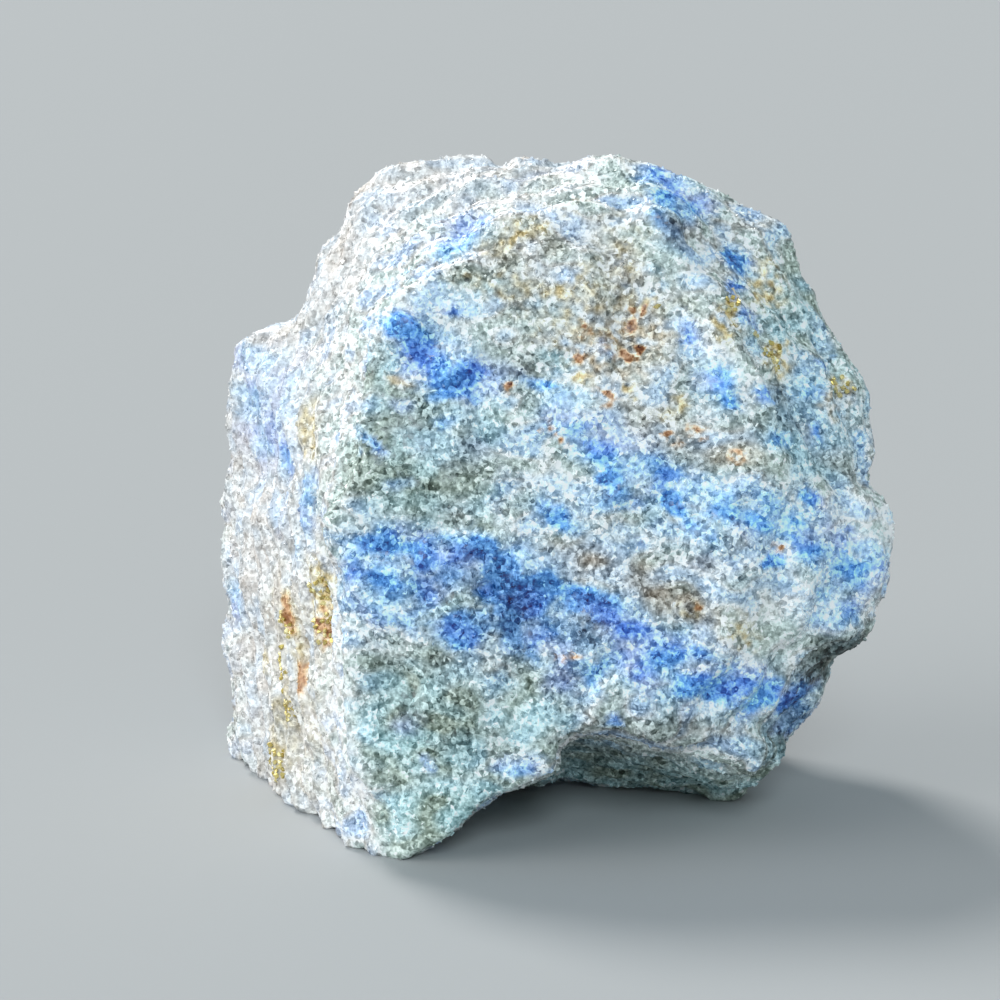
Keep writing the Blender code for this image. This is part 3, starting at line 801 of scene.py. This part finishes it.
def pyrite_material():
    """Iron pyrite, grown in place: brassy mirror faces, a little tarnished, so the flecks flash gold."""
    mat = bare_material("natural pyrite crystal")
    tree = mat.node_tree
    grain = add(tree, "ShaderNodeAttribute", out=1, attribute_name="centre")
    dice = add(tree, "ShaderNodeTexWhiteNoise", {0: grain}, noise_dimensions="3D")
    colour = add(tree, "ShaderNodeValToRGB", {0: dice}, stops=TONES["pyrite"])
    rough = add(tree, "ShaderNodeMapRange", {"Value": dice, "To Min": 0.3, "To Max": 0.55})
    brassy = {"Base Color": colour, "Roughness": rough, "Metallic": 0.8}
    shader = add(tree, "ShaderNodeBsdfPrincipled", brassy)
    add(tree, "ShaderNodeOutputMaterial", {0: shader})
    return mat


def take(piece):
    """Makes this piece the only selected and the active one."""
    bpy.ops.object.select_all(action="DESELECT")
    piece.select_set(True)
    bpy.context.view_layer.objects.active = piece


def finish_modifiers(piece):
    """Applies the piece's modifiers from the top down."""
    take(piece)
    for modifier in list(piece.modifiers):
        bpy.ops.object.modifier_apply(modifier=modifier.name)


def relief(piece, name, kind, size, height, space=None, **settings):
    """Raises and sinks the piece's skin by a pattern of this size and height, in millimetres."""
    pattern = bpy.data.textures.new(name, kind)
    for key, value in settings.items():
        setattr(pattern, key, value)
    pattern.noise_scale = size * MM
    push = piece.modifiers.new(name, "DISPLACE")
    push.texture = pattern
    push.texture_coords = "OBJECT" if space else "LOCAL"
    push.texture_coords_object = space
    push.strength = height * MM
    push.mid_level = 0.5


def lump(node):
    """The lump's skin: the frame's solid on a fine even grid, with chips, ledges and crumbs."""
    piece = bpy.data.objects.new("lapis_lump", node.data.copy())
    bpy.context.collection.objects.link(piece)
    take(piece)
    bpy.ops.object.mode_set(mode="EDIT")
    bpy.ops.mesh.select_all(action="SELECT")
    bpy.ops.mesh.remove_doubles(threshold=1e-6)
    bpy.ops.object.mode_set(mode="OBJECT")

    grid = piece.modifiers.new("grid", "REMESH")
    grid.mode, grid.voxel_size = "VOXEL", SKIN_GRID * MM
    soften = piece.modifiers.new("soften", "SMOOTH")
    soften.factor, soften.iterations = 0.5, 2
    relief(piece, "chips", "VORONOI", CHIP_SIZE, CHIP_DEPTH)
    # Wood bands run along the diagonal of the empty, one to each 2 pi of ten times x + y + z. The empty is
    # turned and sized so that they cut the skin into ledges along the layers.
    layers = bpy.data.objects.new("layers", None)
    bpy.context.collection.objects.link(layers)
    lean = math.radians(LAYERS_LEAN)
    out = Vector((0, -math.cos(lean), math.sin(lean)))
    layers.rotation_mode = "QUATERNION"
    layers.rotation_quaternion = Vector((1, 1, 1)).normalized().rotation_difference(out)
    layers.scale = (LEDGE_SPACING * MM * 10 * math.sqrt(3) / (2 * math.pi),) * 3
    bands = dict(wood_type="BANDNOISE", noise_basis_2="TRI", turbulence=LEDGE_TURBULENCE)
    relief(piece, "ledges", "WOOD", LEDGE_WANDER / MM, LEDGE_HEIGHT, space=layers, **bands)
    relief(piece, "crumbs", "CLOUDS", CRUMB_SIZE, CRUMB_HEIGHT, noise_depth=2)
    bpy.context.view_layer.update()
    finish_modifiers(piece)
    bpy.data.objects.remove(layers)

    # The underside is pressed flat where the relief would reach below the table.
    bpy.ops.object.mode_set(mode="EDIT")
    bpy.ops.mesh.select_all(action="DESELECT")
    bpy.ops.object.mode_set(mode="OBJECT")
    for point in piece.data.vertices:
        point.select = point.co.z < 0
    bpy.ops.object.mode_set(mode="EDIT")
    bpy.ops.transform.resize(value=(1, 1, 0), center_override=(0, 0, 0))
    bpy.ops.object.mode_set(mode="OBJECT")
    bpy.ops.object.shade_smooth()

    for mineral, share in mineral_shares(piece.data).items():
        piece.data.attributes.new(mineral, "FLOAT", "POINT").data.foreach_set("value", share)
    return piece


def crystal(name, facets, rings, stretch, seed):
    """One small broken crystal a millimetre across, with a few flat facets, for the coats to scatter."""
    bpy.ops.object.select_all(action="DESELECT")
    bpy.ops.mesh.primitive_uv_sphere_add(segments=facets, ring_count=rings, radius=0.5 * MM)
    piece = bpy.context.object
    piece.name = name
    bpy.ops.object.mode_set(mode="EDIT")
    bpy.ops.mesh.select_all(action="SELECT")
    bpy.ops.transform.resize(value=stretch)
    bpy.ops.transform.vertex_random(offset=CRYSTAL_SKEW * MM, uniform=1.0, seed=seed)
    bpy.ops.mesh.quads_convert_to_tris()
    bpy.ops.mesh.normals_make_consistent(inside=False)
    bpy.ops.uv.reset()
    bpy.ops.object.mode_set(mode="OBJECT")
    piece.data.uv_layers[0].name = "facet"
    return piece


def crystals():
    """The broken crystals, by kind: two of each, so that no shape repeats too plainly."""
    return {
        kind: [crystal(f"{kind}_{n}", facets, rings, stretch, 5 * n + rings) for n in (1, 2)]
        for kind, (facets, rings, stretch) in CRYSTALS.items()
    }


def growth(name, group, size, sink, seed, spacing, clusters):
    """The nodes that grow a coat: even points on the skin, and a crystal of the group sunk in at each."""
    tree = bpy.data.node_groups.new(name, "GeometryNodeTree")
    tree.interface.new_socket("Geometry", in_out="INPUT", socket_type="NodeSocketGeometry")
    tree.interface.new_socket("Geometry", in_out="OUTPUT", socket_type="NodeSocketGeometry")
    skin = add(tree, "NodeGroupInput")
    where = add(tree, "GeometryNodeInputPosition")

    # Points all over the skin, or thinning out from the middle of each cluster.
    near = 0.0 if clusters else 1.0
    for centre, radius in clusters:
        middle = [c * MM for c in centre]
        gap = add(tree, "ShaderNodeVectorMath", {0: where, 1: middle}, out=1, operation="DISTANCE")
        reach = {"Value": gap, "From Min": radius * MM, "From Max": 0.5 * radius * MM}
        close = add(tree, "ShaderNodeMapRange", reach)
        near = add(tree, "ShaderNodeMath", {0: near, 1: close}, operation="MAXIMUM")
    scattered = add(
        tree,
        "GeometryNodeDistributePointsOnFaces",
        {
            "Mesh": skin,
            "Distance Min": spacing * MM,
            "Density Max": POINTS_TRIED,
            "Density Factor": near,
            "Seed": seed,
        },
        distribute_method="POISSON",
    ).node
    deepest, shallowest = [-part * MM for part in sink]
    depths = {2: deepest, 3: shallowest, "Seed": seed + 1}
    depth = add(tree, "FunctionNodeRandomValue", depths, out=1, data_type="FLOAT")
    push = add(
        tree, "ShaderNodeVectorMath", {0: scattered.outputs["Normal"], "Scale": depth}, operation="SCALE"
    )
    points = add(tree, "GeometryNodeSetPosition", {"Geometry": scattered.outputs["Points"], "Offset": push})
    height = add(tree, "ShaderNodeSeparateXYZ", {0: where}, out=2)
    under = add(tree, "ShaderNodeMath", {0: height, 1: BASE_BARE * MM}, operation="LESS_THAN")
    points = add(
        tree, "GeometryNodeDeleteGeometry", {"Geometry": points, "Selection": under}, domain="POINT"
    )

    # A crystal on each, turned and sized at random.
    kinds = add(
        tree,
        "GeometryNodeCollectionInfo",
        {"Collection": group, "Separate Children": True, "Reset Children": True},
    )
    turns = {0: (0, 0, 0), 1: (2 * math.pi,) * 3, "Seed": seed + 2}
    turn = add(tree, "FunctionNodeRandomValue", turns, data_type="FLOAT_VECTOR")
    least, most = [(part * size,) * 3 for part in GRAIN_RANGE]
    girths = {0: least, 1: most, "Seed": seed + 3}
    girth = add(tree, "FunctionNodeRandomValue", girths, data_type="FLOAT_VECTOR")
    picks = {4: 0, 5: len(group.objects) - 1, "Seed": seed + 4}
    pick = add(tree, "FunctionNodeRandomValue", picks, out=2, data_type="INT")
    grains = add(
        tree,
        "GeometryNodeInstanceOnPoints",
        {
            "Points": points,
            "Instance": kinds,
            "Pick Instance": True,
            "Instance Index": pick,
            "Rotation": turn,
            "Scale": girth,
        },
    )

    # Each grain keeps its middle, which the material takes its colour from, and its number.
    order = add(tree, "GeometryNodeInputIndex")
    for key, value, kind in (("centre", where, "FLOAT_VECTOR"), ("cell", order, "INT")):
        grains = add(
            tree,
            "GeometryNodeStoreNamedAttribute",
            {"Geometry": grains, "Name": key, "Value": value},
            data_type=kind,
            domain="INSTANCE",
        )
    solid = add(tree, "GeometryNodeRealizeInstances", {"Geometry": grains})

    # Its number gives it a square on the UV map, row by row, with a margin round it.
    cell = add(tree, "GeometryNodeInputNamedAttribute", {"Name": "cell"}, data_type="INT")
    facet = add(tree, "GeometryNodeInputNamedAttribute", {"Name": "facet"}, data_type="FLOAT_VECTOR")
    column = add(tree, "ShaderNodeMath", {0: cell, 1: CELLS}, operation="MODULO")
    row = add(tree, "ShaderNodeMath", {0: cell, 1: CELLS}, operation="DIVIDE")
    row = add(tree, "ShaderNodeMath", {0: row}, operation="FLOOR")
    corner = add(tree, "ShaderNodeCombineXYZ", {0: column, 1: row})
    inset = add(
        tree,
        "ShaderNodeVectorMath",
        {0: facet, 1: (CELL_FILL, CELL_FILL, 0.0), 2: (CELL_MARGIN, CELL_MARGIN, 0.0)},
        operation="MULTIPLY_ADD",
    )
    spot = add(tree, "ShaderNodeVectorMath", {0: corner, 1: inset}, operation="ADD")
    spot = add(tree, "ShaderNodeVectorMath", {0: spot, "Scale": 1 / CELLS}, operation="SCALE")
    mapped = add(
        tree,
        "GeometryNodeStoreNamedAttribute",
        {"Geometry": solid, "Name": "OFBake", "Value": spot},
        data_type="FLOAT2",
        domain="CORNER",
    )
    add(tree, "NodeGroupOutput", {0: mapped})
    return tree


def coat(body, name, material, shapes, size, sink, seed, spacing=GRAIN_SPACING, clusters=()):
    """One coat of crystals over the lump, as a piece of its own."""
    group = bpy.data.collections.new(name + "_shapes")
    bpy.context.scene.collection.children.link(group)
    for shape in shapes:
        shape.data.materials.clear()
        shape.data.materials.append(material)
        group.objects.link(shape)
    take(body)
    bpy.ops.object.duplicate()
    piece = bpy.context.object
    piece.name = name
    piece.data.materials.clear()
    tree = growth(name, group, size, sink, seed, spacing, clusters)
    piece.modifiers.new("grow", "NODES").node_group = tree
    finish_modifiers(piece)
    piece.data.uv_layers.remove(piece.data.uv_layers["facet"])
    bpy.data.collections.remove(group)
    return piece


def show(piece):
    """Puts a finished piece on the part, in its finish."""
    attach(piece, "root")
    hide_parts("lapis_lazuli")


def studio():
    """A pale table in a pale room, and soft lights from far off."""
    bpy.ops.object.select_all(action="DESELECT")
    bpy.ops.mesh.primitive_plane_add(size=TABLE_SIZE, location=(0, 0, 0))
    table = bpy.context.object
    table.name = "table"
    # Painted board: matt all over, so the table gives no glare and a soft shadow.
    mat = bpy.data.materials.new("matt painted board")
    mat.use_nodes = True
    shader = mat.node_tree.nodes["Principled BSDF"]
    shader.inputs["Base Color"].default_value = linear(TABLE_COLOUR)
    shader.inputs["Roughness"].default_value = 0.85
    table.data.materials.append(mat)

    for name, (towards, strength, spread, colour) in LIGHTS.items():
        lamp = bpy.data.lights.new(name, "SUN")
        lamp.energy, lamp.angle, lamp.color = strength, math.radians(spread), colour
        box = bpy.data.objects.new(name, lamp)
        box.location = Vector(towards).normalized()
        box.rotation_mode = "QUATERNION"
        box.rotation_quaternion = (-Vector(towards)).to_track_quat("-Z", "Y")
        bpy.context.collection.objects.link(box)
    world = bpy.data.worlds.new("pale room")
    bpy.context.scene.world = world
    world.use_nodes = True
    room = world.node_tree.nodes["Background"]
    room.inputs["Color"].default_value = linear(ROOM_COLOUR)
    room.inputs["Strength"].default_value = ROOM_STRENGTH
    bpy.context.scene.view_settings.view_transform = "Standard"


def camera():
    """Looks along +Y, down at the middle of the stone."""
    lens = bpy.data.cameras.new("camera")
    lens.sensor_width, lens.lens = 36.0, CAMERA_LENS
    lens.clip_start, lens.clip_end = 0.01, 20.0
    eye = bpy.data.objects.new("camera", lens)
    eye.location = [c * MM for c in CAMERA_PLACE]
    eye.rotation_euler = (math.radians(90 - CAMERA_TILT), 0, 0)
    bpy.context.collection.objects.link(eye)
    bpy.context.scene.camera = eye


def main():
    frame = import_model()
    camera()
    studio()

    stone = lump(frame["nodes"]["lapis_lazuli"])
    shapes = crystals()
    broken = shapes["bead"] + shapes["splinter"]
    grain_rock = rock_material("broken lapis rock grains", by_grain=True)
    pieces = [stone]
    for name, settings in COATS.items():
        pieces.append(coat(stone, name, grain_rock, broken, **settings))
    pieces.append(coat(stone, "pyrite_crystals", pyrite_material(), shapes["cube"], **PYRITE_COAT))
    stone.data.materials.clear()
    stone.data.materials.append(rock_material("fractured lapis rock", by_grain=False))
    for pair in shapes.values():
        for shape in pair:
            bpy.data.objects.remove(shape)
    for piece in pieces:
        show(piece)


main()
